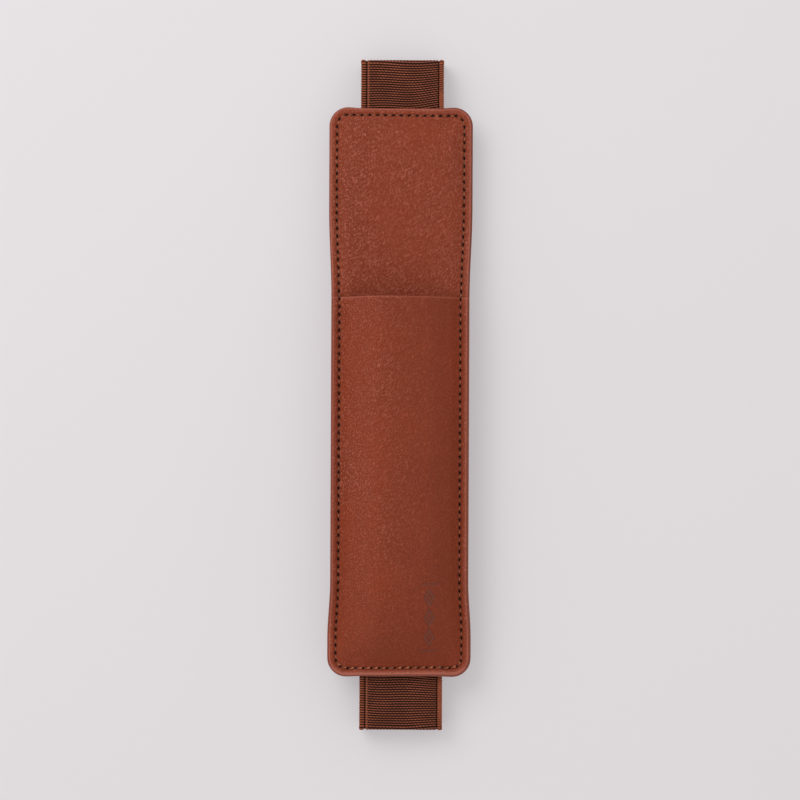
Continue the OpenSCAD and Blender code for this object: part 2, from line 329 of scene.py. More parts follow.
@dataclass(frozen=True)
class SeamLine:
    """The line of holes that runs round the case inside its outline."""

    form: CaseForm
    inset: float = 2.6 * MM
    pitch: float = STITCH_MM * MM
    left: tuple[float, float] = (-0.1 * MM, 0.15 * MM)
    right: tuple[float, float] = (0.12 * MM, 0.4 * MM)
    lip_fade: float = 2.0 * MM
    side_fade: float = 20.0 * MM

    @property
    def radius(self) -> float:
        """Radius of the seam's corners."""
        return self.form.corner_r - self.inset

    @property
    def flat_w(self) -> float:
        """Half the straight length of the seam across the case."""
        return self.form.half_w - self.form.corner_r

    @property
    def flat_l(self) -> float:
        """Half the straight length of the seam along the case."""
        return self.form.half_l - self.form.corner_r

    @property
    def bend(self) -> float:
        """Length of one corner of the seam."""
        return math.pi * self.radius / 2

    @property
    def quarter(self) -> float:
        """Length of a quarter of the seam."""
        return self.flat_w + self.bend + self.flat_l

    @property
    def count(self) -> int:
        """Number of stitches."""
        return round(4 * self.quarter / self.pitch)

    def inset_at(self, x: Array, y: Array) -> Array:
        """Distance of the seam from the outline: it steps in where the pocket adds to the stack.

        left and right give how far it lies further in on each side, above and below the lip.

        Args:
            x, y: Places on the plan.

        Returns:
            The distance there.
        """
        below = ease((self.form.lip_y - y) / self.lip_fade + 0.5)
        on_right = ease(x / self.side_fade + 0.5)
        above_extra = self.left[0] + (self.right[0] - self.left[0]) * on_right
        below_extra = self.left[1] + (self.right[1] - self.left[1]) * on_right
        return self.inset + above_extra + (below_extra - above_extra) * below

    def plan_point(self, turn: float) -> tuple[float, float]:
        """Finds the seam's plan point at a number of stitches from the middle of the top.

        Args:
            turn: The number of stitches, clockwise.

        Returns:
            P and Q of the point.
        """
        s = (turn / self.count * 4 * self.quarter) % (4 * self.quarter)
        corner, t = int(s // self.quarter) % 4, s % self.quarter
        t = t if corner % 2 == 0 else self.quarter - t
        if t < self.flat_w:
            p, q = t, self.form.half_l - self.inset
        elif t < self.flat_w + self.bend:
            angle = (t - self.flat_w) / self.radius
            reach = self.radius / max(math.cos(angle), math.sin(angle))
            p, q = self.flat_w + reach * math.sin(angle), self.flat_l + reach * math.cos(angle)
        else:
            p, q = self.form.half_w - self.inset, self.flat_l - (t - self.flat_w - self.bend)
        p, q = (p if corner < 2 else -p), (q if corner in (0, 3) else -q)
        extra = float(self.inset_at(np.array(p), np.array(q))) - self.inset
        if self.form.half_w - abs(p) <= self.form.half_l - abs(q):
            p -= extra * math.copysign(1, p)
        else:
            q -= extra * math.copysign(1, q)
        return p, q

    def turns(self, p: Array, q: Array) -> Array:
        """Counts stitches from the middle of the top to the seam point nearest each plan point.

        Args:
            p, q: Places on the square-cornered plan.

        Returns:
            The numbers, which go clockwise and grow to the seam's count.
        """
        a, b = np.abs(p), np.abs(q)
        s, t = np.maximum(a - self.flat_w, 0), np.maximum(b - self.flat_l, 0)
        corner = (s > 0) & (t > 0)
        along_top = self.form.half_l - b < self.form.half_w - a
        quarter = np.where(
            corner,
            self.flat_w + self.radius * np.arctan2(s, t),
            np.where(along_top, np.minimum(a, self.flat_w), self.quarter - np.minimum(b, self.flat_l)),
        )
        whole = np.where(
            q >= 0,
            np.where(p >= 0, quarter, 4 * self.quarter - quarter),
            np.where(p >= 0, 2 * self.quarter - quarter, 2 * self.quarter + quarter),
        )
        return whole / (4 * self.quarter) * self.count


# ---- Making and finishing meshes ----


def plan_grid(bm: bmesh.types.BMesh, columns: Array, rows: Array, level: float) -> list[bmesh.types.BMVert]:
    """Adds a grid whose points are (column, row, level).

    Args:
        bm: Where it is added.
        columns, rows: The grid lines.
        level: The height in the plan.

    Returns:
        The new points.
    """
    made = bmesh.ops.create_grid(bm, x_segments=len(columns) - 1, y_segments=len(rows) - 1, size=1.0)["verts"]
    for v in made:
        i = round((v.co.x + 1) / 2 * (len(columns) - 1))
        j = round((v.co.y + 1) / 2 * (len(rows) - 1))
        v.co = (columns[i], rows[j], level)
    return made


def coordinates(bm: bmesh.types.BMesh) -> Array:
    """The places of a mesh's points, one row each."""
    return np.array([v.co for v in bm.verts], float).reshape(-1, 3)


def place(bm: bmesh.types.BMesh, points: Array) -> None:
    """Moves each point of a mesh to its row of points."""
    for v, co in zip(bm.verts, points):
        v.co = co


def close(bm: bmesh.types.BMesh) -> None:
    """Merges a mesh's doubles, fills its open ends and turns its faces outwards.

    Args:
        bm: The mesh.
    """
    bmesh.ops.remove_doubles(bm, verts=bm.verts, dist=1e-7)
    bmesh.ops.holes_fill(bm, edges=[e for e in bm.edges if e.is_boundary], sides=0)
    bmesh.ops.recalc_face_normals(bm, faces=bm.faces)


def finished(bm: bmesh.types.BMesh, name: str) -> bpy.types.Mesh:
    """Turns a bmesh into a mesh.

    Args:
        bm: The bmesh, which is freed.
        name: The mesh's name.

    Returns:
        The new mesh.
    """
    mesh = bpy.data.meshes.new(name)
    bm.to_mesh(mesh)
    bm.free()
    return mesh


def linked(name: str, data: bpy.types.ID) -> bpy.types.Object:
    """Puts a mesh, lamp or camera into the scene as an object.

    Args:
        name: The object's name.
        data: What it shows.

    Returns:
        The new object.
    """
    obj = bpy.data.objects.new(name, data)
    bpy.context.scene.collection.objects.link(obj)
    return obj


def piece(
    bm: bmesh.types.BMesh,
    name: str,
    material: bpy.types.Material,
    nodes: Iterable[str] = (),
    body: str | None = "case",
) -> bpy.types.Object:
    """Turns a mesh into a smooth piece of the object.

    Args:
        bm: The mesh, which is freed.
        name: The piece's name.
        material: Its finish.
        nodes: The CAD nodes that it stands for.
        body: The body that it rides on, or None for one left without a parent.

    Returns:
        The new object.
    """
    for face in bm.faces:
        face.smooth = True
    mesh = finished(bm, name)
    obj = linked(name, mesh)
    mesh.materials.append(material)
    if body:
        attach(obj, body)
    if nodes:
        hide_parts(*nodes)
    log.info("%s: %d faces", name, len(mesh.polygons))
    return obj


# ---- Finishes ----


class Value:
    """A number that changes over a surface, for use in Python expressions."""

    def __init__(self, graph: "Graph", socket: bpy.types.NodeSocket) -> None:
        """Wraps a socket of a graph."""
        self.graph, self.socket = graph, socket

    def _with(self, operation: str, *terms: "Value | float") -> "Value":
        """What a Math node makes of some terms."""
        return self.graph.node("ShaderNodeMath", {"operation": operation}, dict(enumerate(terms)))

    def __add__(self, other: "Value | float") -> "Value":
        """self + other."""
        return self._with("ADD", self, other)

    __radd__ = __add__

    def __sub__(self, other: "Value | float") -> "Value":
        """self - other."""
        return self._with("SUBTRACT", self, other)

    def __rsub__(self, other: float) -> "Value":
        """other - self."""
        return self._with("SUBTRACT", other, self)

    def __mul__(self, other: "Value | float") -> "Value":
        """self * other."""
        return self._with("MULTIPLY", self, other)

    __rmul__ = __mul__

    def __truediv__(self, other: "Value | float") -> "Value":
        """self / other."""
        return self._with("DIVIDE", self, other)

    def __abs__(self) -> "Value":
        """The size of self."""
        return self._with("ABSOLUTE", self)

    def most(self, other: "Value | float") -> "Value":
        """The larger of the two."""
        return self._with("MAXIMUM", self, other)

    def rest(self) -> "Value":
        """Signed distance to the nearest whole number."""
        return self - self._with("ROUND", self)

    def wave(self) -> "Value":
        """A wave from 0 to 1 that is 1 at whole numbers."""
        return self._with("COSINE", self * (2 * math.pi)) * 0.5 + 0.5

    def step(self, low: float, high: float, start: float = 0.0, end: float = 1.0) -> "Value":
        """A smooth step from one level to another.

        Args:
            low, high: Where it starts and ends; low may be the larger.
            start, end: What it is there.

        Returns:
            The stepped value.
        """
        ends = (low, high, start, end) if low < high else (high, low, end, start)
        return self.graph.node(
            "ShaderNodeMapRange",
            {"interpolation_type": "SMOOTHSTEP"},
            {0: self, 1: ends[0], 2: ends[1], 3: ends[2], 4: ends[3]},
        )


class Graph:
    """A node tree and the kinds of node that the finishes and the sky are made of."""

    def __init__(self, tree: bpy.types.NodeTree) -> None:
        """Works on a node tree."""
        self.tree = tree

    def node(
        self,
        kind: str,
        settings: dict[str, object] | None = None,
        inputs: dict[str | int, object] | None = None,
        output: int = 0,
    ) -> Value:
        """Adds a node.

        Args:
            kind: The node's type.
            settings: Its properties, which are set first.
            inputs: Numbers, colours or values for its sockets, by name or place.
            output: Which output is wanted.

        Returns:
            That output as a value.
        """
        made = self.tree.nodes.new(kind)
        for key, setting in (settings or {}).items():
            setattr(made, key, setting)
        for key, value in (inputs or {}).items():
            self.feed(made.inputs[key], value)
        return Value(self, made.outputs[output])

    def feed(self, socket: bpy.types.NodeSocket, value: object) -> None:
        """Links a value to a socket, or sets a plain number or colour on it.

        Args:
            socket: The input to be fed.
            value: A value, or a plain number, vector or colour.
        """
        if isinstance(value, Value):
            self.tree.links.new(value.socket, socket)
        elif isinstance(value, tuple) and socket.type == "RGBA":
            socket.default_value = (*value, 1.0)
        else:
            socket.default_value = value

    def blend(self, share: Value | float, a: "Value | Colour", b: "Value | Colour") -> Value:
        """A colour that goes from a to b as share goes from 0 to 1."""
        return self.node("ShaderNodeMix", {"data_type": "RGBA"}, {0: share, 6: a, 7: b}, output=2)

    def place(self) -> Value:
        """The point in the object's own metres."""
        return self.node("ShaderNodeTexCoord", output=3)

    def split(self, vector: Value) -> tuple[Value, Value]:
        """A vector's X and Y."""
        x = self.node("ShaderNodeSeparateXYZ", None, {0: vector})
        return x, Value(self, x.socket.node.outputs[1])

    def pattern(self, name: str) -> tuple[Value, Value]:
        """The two coordinates of one of the piece's own UV maps."""
        return self.split(self.node("ShaderNodeUVMap", {"uv_map": name}))

    def scaled(self, vector: Value, scale: tuple[float, float, float], turn: float) -> Value:
        """Turns a vector about Z and then scales it.

        Args:
            vector: The vector.
            scale: Its three factors.
            turn: The angle in radians.

        Returns:
            The new vector.
        """
        about_z = {"rotation_type": "Z_AXIS"}
        turned = self.node("ShaderNodeVectorRotate", about_z, {"Vector": vector, "Angle": turn})
        return self.node("ShaderNodeVectorMath", {"operation": "MULTIPLY"}, {0: turned, 1: scale})

    def clouds(self, vector: Value, scale: float, detail: float = 2.0, output: int = 0) -> Value:
        """Soft noise from 0 to 1, as a number or, from output 1, as a vector."""
        return self.node(
            "ShaderNodeTexNoise", None, {"Vector": vector, "Scale": scale, "Detail": detail}, output
        )

    def relief(self, height: Value, depth: float, under: Value | None = None) -> Value:
        """A normal that shows height, which goes from 0 to 1 over a depth in metres."""
        inputs = {"Height": height, "Distance": depth, "Strength": 1.0}
        return self.node("ShaderNodeBump", None, inputs | ({"Normal": under} if under else {}))


class MaterialGraph(Graph):
    """The node tree of one material, with its main shader."""

    def __init__(self, name: str) -> None:
        """Starts an empty material of that name."""
        self.material = bpy.data.materials.new(name)
        self.material.use_nodes = True
        super().__init__(self.material.node_tree)
        self.tree.nodes.clear()
        self.shader = self.tree.nodes.new("ShaderNodeBsdfPrincipled")
        output = self.tree.nodes.new("ShaderNodeOutputMaterial")
        self.tree.links.new(self.shader.outputs[0], output.inputs[0])

    def finish(self, constants: dict[str, object], **changing: Value) -> bpy.types.Material:
        """Sets the shader's sockets and returns the material.

        Args:
            constants: Values that are the same all over, by socket name.
            changing: Values that change over the surface: colour, roughness or normal.

        Returns:
            The finished material.
        """
        for key, value in constants.items():
            self.feed(self.shader.inputs[key], value)
        sockets = {"colour": "Base Color", "roughness": "Roughness", "normal": "Normal"}
        for key, value in changing.items():
            self.feed(self.shader.inputs[sockets[key]], value)
        return self.material


class Side(Enum):
    """Which side of the case a stitched surface is seen from."""

    UPPER = 1
    LOWER = -1


@dataclass(frozen=True)
class SeamMarks:
    """Masks that follow the seam: its holes, the pinch that sewing presses in, the edge paint, and painted
    highlights on the strip outside the seam and on the rim's crest.
    """

    hole: Value
    pinch: Value
    paint: Value
    margin: Value
    rim_highlight: Value


@dataclass(frozen=True)
class LeatherFinish:
    """Pebbled leather with painted cut edges and a row of punched holes.

    Sizes of the hole, pinch, paint, margin and rim highlight are in millimetres along the seam or inwards
    from it.
    """

    name: str
    # Shares of painted sheen on the grain's crests at the left and at the right.
    sheen: tuple[float, float] = (0.8, 0.66)
    lip_y: float | None = None
    tone: Colour = (0.276, 0.0408, 0.0104)
    # Colour of the painted sheen and painted highlights: on grain crests, the strip outside the seam, the
    # rim's crest and the pocket's lip.
    painted_sheen: Colour = (0.465, 0.140, 0.093)
    # Colour of the painted shade in the grain's pits.
    pit_shade: Colour = (0.150, 0.020, 0.006)
    stamp: Colour = (0.165, 0.048, 0.029)
    paint: Colour = (0.180, 0.052, 0.032)
    # Near-black painted shade for the punched holes.
    hole: Colour = (0.006, 0.002, 0.001)
    pebble: float = 0.33 * MM
    pebble_shape: tuple[float, float, float] = (0.62, 1.0, 0.8)
    pebble_share: float = 0.3
    ridge: tuple[float, float] = (0.86 * MM, 0.26 * MM)
    ridge_rise: tuple[float, float] = (0.4, 0.64)
    slant: float = math.radians(-52)
    drift_scale: float = 420.0
    drift: float = 2.2
    sheen_x: tuple[float, float] = (13 * MM, -15 * MM)
    sheen_y: tuple[float, float] = (-86 * MM, -25 * MM)
    mottle_scale: float = 48.0
    mottle_edge: tuple[float, float] = (0.3, 0.72)
    mottle_dark: float = 0.88
    pit_edge: tuple[float, float] = (0.36, 0.12)
    pit_share: float = 0.4
    crest_edge: tuple[float, float] = (0.48, 0.8)
    crest_share: float = 0.76
    hole_size: tuple[float, float] = (0.27, 0.105)
    hole_edge: tuple[float, float] = (1.25, 0.85)
    hole_slant: float = 0.1
    pinch_size: tuple[float, float] = (1.1, 0.5)
    paint_in: float = 2.6
    paint_edge: tuple[float, float] = (0.6, 0.25)
    margin_in: float = 1.35
    margin_edge: tuple[float, float] = (0.8, -0.6)
    rim_highlight_in: float = 1.9
    rim_highlight_edge: tuple[float, float] = (0.2, 0.04)
    toe_y: tuple[float, float] = (-85.2 * MM, -86.6 * MM)
    lip_in: float = 0.25 * MM
    lip_edge: tuple[float, float] = (0.34 * MM, 0.1 * MM)
    grain_depth: float = 0.2 * MM
    stamp_depth: float = 0.12 * MM
    pinch_depth: float = 0.3 * MM

    def grain(self, g: Graph, place: Value) -> Value:
        """Builds the grain: fine pebbles crossed by short slanting ridges.

        Args:
            g: The material's graph.
            place: The point on the piece.

        Returns:
            The height, from 0 to 1.
        """
        drift = g.clouds(place, self.drift_scale, 1.0, output=1)
        bent = g.node(
            "ShaderNodeVectorMath",
            {"operation": "MULTIPLY_ADD"},
            {0: drift, 1: (self.pebble * self.drift,) * 3, 2: place},
        )
        pebbles = g.node(
            "ShaderNodeTexVoronoi",
            {"feature": "F1"},
            {"Vector": g.scaled(bent, self.pebble_shape, self.slant), "Scale": 1 / self.pebble},
        )
        run = g.scaled(bent, (1 / self.ridge[0], 1 / self.ridge[1], 0.6 / self.ridge[1]), self.slant)
        ridges = g.clouds(run, 1.0).step(*self.ridge_rise)
        return (1 - pebbles) * self.pebble_share + ridges * (1 - self.pebble_share)

    def seam_marks(self, g: Graph) -> SeamMarks:
        """Builds the masks that follow the seam.

        Args:
            g: The material's graph.

        Returns:
            The masks.
        """
        turns, inward = g.pattern("seam")
        along = turns.rest() * STITCH_MM
        across = along * self.hole_slant + inward
        hole = along * along / self.hole_size[0] + across * across / self.hole_size[1]
        pinch = along * along / self.pinch_size[0] + inward * inward / self.pinch_size[1]
        return SeamMarks(
            hole=hole.step(*self.hole_edge),
            pinch=pinch.step(1.0, 0.0),
            paint=(inward + self.paint_in).step(*self.paint_edge),
            # The last two masks place painted highlights: on the strip outside the seam and on the crest of
            # the rolled rim.
            margin=(inward + self.margin_in).step(*self.margin_edge),
            rim_highlight=abs(inward + self.rim_highlight_in).step(*self.rim_highlight_edge),
        )

    def sheen_mask(self, x: Value, y: Value, margin: Value, mottle: Value) -> Value:
        """Works out how much painted sheen the crests of the grain get: more on the left, less towards the
        bottom, most outside the seam.

        Args:
            x, y: The place on the piece.
            margin: The mask of the strip outside the seam.
            mottle: Soft noise over the leather.

        Returns:
            The share, from 0 to 1.
        """
        sheen = x.step(*self.sheen_x) * (self.sheen[0] - self.sheen[1]) + self.sheen[1]
        sheen = (sheen * (y.step(*self.sheen_y) * 0.6 + 0.4)).most(margin * 0.95)
        return sheen * (mottle.step(0.28, 0.6) * 0.4 + 0.6)

    def material(self, ornament: "Ornament | None" = None) -> bpy.types.Material:
        """Builds the material.

        Args:
            ornament: The mark to press into it, if any.

        Returns:
            The finished material.
        """
        g = MaterialGraph(self.name)
        place = g.place()
        grain = self.grain(g, place)
        marks = self.seam_marks(g)
        mottle = g.clouds(place, self.mottle_scale, 3.0)
        x, y = g.split(place)

        dark = tuple(self.mottle_dark * c for c in self.tone)
        tone = g.blend(mottle.step(*self.mottle_edge), self.tone, dark)
        # Painted shade in the grain's pits.
        tone = g.blend(grain.step(*self.pit_edge) * self.pit_share, tone, self.pit_shade)
        # Painted sheen on the grain's crests, more on the left and less towards the bottom.
        crest = grain.step(*self.crest_edge) * self.crest_share
        tone = g.blend(crest * self.sheen_mask(x, y, marks.margin, mottle), tone, self.painted_sheen)
        # Painted highlight on the strip outside the seam, brighter along the bottom edge, and on the rim's
        # crest.
        toe = y.step(*self.toe_y)
        tone = g.blend(marks.margin * (toe * 0.55 + 0.2) + marks.rim_highlight * 0.55, tone, self.painted_sheen)
        tone = g.blend(marks.paint * 0.72, tone, self.paint)
        if self.lip_y is not None:
            # Painted highlight along the turned edge of the pocket's lip.
            lip = abs(y - self.lip_y + self.lip_in).step(*self.lip_edge)
            tone = g.blend(lip * 0.3, tone, self.painted_sheen)
        height = grain * (1 - marks.paint * 0.7)
        roughness = 0.46 + mottle * 0.1 + marks.paint * 0.08
        if ornament:
            mark = ornament.mask(g, place)
            tone = g.blend(mark * 0.8, tone, self.stamp)
            height = height * (1 - mark * 0.6)
            roughness = roughness - mark * 0.1
        # The holes are painted near-black as painted shade, since the mesh has no real holes.
        tone = g.blend(marks.hole, tone, self.hole)
        normal = g.relief(height, self.grain_depth)
        if ornament:
            normal = g.relief(1 - mark, self.stamp_depth, normal)
        normal = g.relief(1 - marks.pinch * 0.5 - marks.hole * 0.5, self.pinch_depth, normal)
        return g.finish(
            {"Specular IOR Level": 0.19},
            colour=tone,
            roughness=roughness + marks.hole * 0.3,
            normal=normal,
        )


@dataclass(frozen=True)
class Ornament:
    """A plain pressed mark: a column of lozenges between two short rules."""

    centre: tuple[float, float] = (9.4 * MM, -69.5 * MM)
    lozenge: tuple[float, float] = (1.7 * MM, 2.9 * MM)
    spacing: float = 6.4 * MM
    rule: tuple[float, float] = (2.6 * MM, 0.22 * MM)
    rule_y: float = 10.6 * MM
    ring_at: float = 0.8
    ring_edge: tuple[float, float] = (0.27, 0.17)
    dot_edge: tuple[float, float] = (0.34, 0.24)
    column_edge: tuple[float, float] = (1.5 * spacing, 1.49 * spacing)

    def mask(self, g: Graph, place: Value) -> Value:
        """Draws the mark.

        Args:
            g: The material's graph.
            place: The point on the piece.

        Returns:
            1 in the pressed lines and 0 outside.
        """
        x, y = g.split(place)
        x, y = abs(x - self.centre[0]), y - self.centre[1]
        row = (y / self.spacing).rest() * self.spacing
        reach = x / self.lozenge[0] + abs(row) / self.lozenge[1]
        inside = abs(y).step(*self.column_edge)
        outline = abs(reach - self.ring_at).step(*self.ring_edge) * inside
        dot = reach.step(*self.dot_edge) * inside
        bars = abs(abs(y) - self.rule_y).step(self.rule[1] * 1.2, self.rule[1] * 0.8)
        bars = bars * x.step(self.rule[0], self.rule[0] * 0.94)
        return outline.most(dot).most(bars)


@dataclass(frozen=True)
class ThreadFinish:
    """Twisted sewing thread, with a painted highlight on the crown of each stitch and painted shade where it
    goes into its hole.
    """

    name: str
    # The crown colour is a painted highlight and the dark colour painted shade where the thread goes into its
    # hole; the tone is the thread's own brown.
    crown: Colour = (0.500, 0.190, 0.100)
    tone: Colour = (0.185, 0.060, 0.030)
    dark: Colour = (0.030, 0.009, 0.005)
    middle: float = 0.03
    peak: float = 0.03
    crown_l: tuple[float, float] = (0.05, 0.2)
    shown_l: tuple[float, float] = (0.2, 0.34)
    fibre_scale: float = 5200.0
    fibre_depth: float = 0.05 * MM
    wear_scale: float = 330.0

    def material(self) -> bpy.types.Material:
        """Builds the material over the stitch's own map: place along it, from -0.5 to 0.5.

        Returns:
            The finished material.
        """
        g = MaterialGraph(self.name)
        along, _ = g.pattern("ply")
        place = g.place()
        fibres = g.clouds(place, self.fibre_scale)
        # Patchy noise that dims the painted highlight on each stitch's crown.
        painted_sheen = g.clouds(place, self.wear_scale, 1.0).step(0.35, 0.65)
        lit = g.blend(painted_sheen * 0.6, self.crown, self.tone)
        # Painted highlight on the crown, then painted shade towards both ends.
        tone = g.blend(abs(along - self.peak).step(*self.crown_l), lit, self.tone)
        tone = g.blend(abs(along - self.middle).step(*self.shown_l), tone, self.dark)
        tone = g.blend(fibres.step(0.4, 0.7) * 0.35, tone, self.dark)
        return g.finish(
            {"Specular IOR Level": 0.25, "Roughness": 0.6},
            colour=tone,
            normal=g.relief(fibres, self.fibre_depth),
        )


@dataclass(frozen=True)
class ElasticFinish:
    """Woven elastic: dark cross ribs of short beads between lighter rolled edges.

    Places across the band are in millimetres from its middle.
    """

    name: str
    # The light rib and edge colours are painted highlights on the ribs' beads and the rolled edges; the
    # near-black colours are painted shade between them. The band's own dark brown is what they average to.
    rib_highlight: Colour = (0.540, 0.155, 0.080)
    valley_shade: Colour = (0.016, 0.0045, 0.0025)
    edge: Colour = (0.425, 0.115, 0.054)
    edge_valley_shade: Colour = (0.024, 0.007, 0.004)
    rib_depth: float = 0.14 * MM
    left_edge: tuple[float, float] = (-11.45, -11.65)
    right_edge: tuple[float, float] = (11.5, 11.7)
    cord_at: float = -10.78
    cord_edge: tuple[float, float] = (0.34, 0.2)
    left_groove: float = -11.32
    left_groove_edge: tuple[float, float] = (0.26, 0.16)
    right_groove: float = 11.42
    right_groove_edge: tuple[float, float] = (0.24, 0.12)
    fibre_scale: float = 3600.0
    patch_scale: float = 190.0
    slub_scale: float = 60.0

    def material(self) -> bpy.types.Material:
        """Builds the material over the band's own map: millimetres across and ribs along.

        Returns:
            The finished material.
        """
        g = MaterialGraph(self.name)
        across, ribs = g.pattern("weave")
        crest = ribs.wave()
        beads = (across / BEAD_MM + ribs * 0.5).wave()
        place = g.place()
        fibre = g.clouds(place, self.fibre_scale).step(0.3, 0.7)
        left = across.step(*self.left_edge)
        right = across.step(*self.right_edge)
        cord = abs(across - self.cord_at).step(*self.cord_edge)
        groove = abs(across - self.left_groove).step(*self.left_groove_edge)
        groove = groove.most(abs(across - self.right_groove).step(*self.right_groove_edge))
        patches = g.clouds(place, self.patch_scale).step(0.3, 0.7)
        light = crest.step(0.42, 1.0) * (beads * 0.65 + 0.35) * (fibre * 0.3 + 0.7) * (patches * 0.25 + 0.75)
        smooth = right * (g.clouds(place, self.slub_scale, 1.0).step(0.45, 0.55) * 0.45 + 0.2)
        rolled = crest.step(0.2, 0.95).most(smooth) * (fibre * 0.4 + 0.6)
        # Painted highlight on the crests over painted shade in the valleys, for the field and for the rolled
        # edges.
        field_tone = g.blend(light, self.valley_shade, self.rib_highlight)
        edge_tone = g.blend(rolled, self.edge_valley_shade, self.edge)
        cord_tone = g.blend(crest.step(0.0, 0.8) * 0.25 + 0.28, self.edge_valley_shade, self.rib_highlight)
        tone = g.blend(cord, g.blend(left.most(right), field_tone, edge_tone), cord_tone)
        # Painted shade in the grooves beside the rolled edges.
        tone = g.blend(groove * 0.85, tone, self.valley_shade)
        return g.finish(
            {"Specular IOR Level": 0.1, "Roughness": 0.8},
            colour=tone,
            normal=g.relief(crest * (beads * 0.6 + 0.4), self.rib_depth),
        )


@dataclass(frozen=True)
class ClothFinish:
    """Thin plain weave, or any other fine even stuff that stays inside the case."""

    name: str
    warp: Colour
    weft: Colour
    count: float = 2200.0
    roughness: float = 0.85
    depth: float = 0.06 * MM

    def material(self) -> bpy.types.Material:
        """Builds the material.

        Returns:
            The finished material.
        """
        g = MaterialGraph(self.name)
        x, y = g.split(g.place())
        x, y = x * self.count, y * self.count
        over = x.wave() * y.wave()
        between = (x + 0.5).wave() * (y + 0.5).wave()
        return g.finish(
            {"Roughness": self.roughness, "Specular IOR Level": 0.3},
            colour=g.blend(over.most(between), self.warp, self.weft),
            normal=g.relief(over, self.depth),
        )


# ---- Leather, lining and stiffening ----


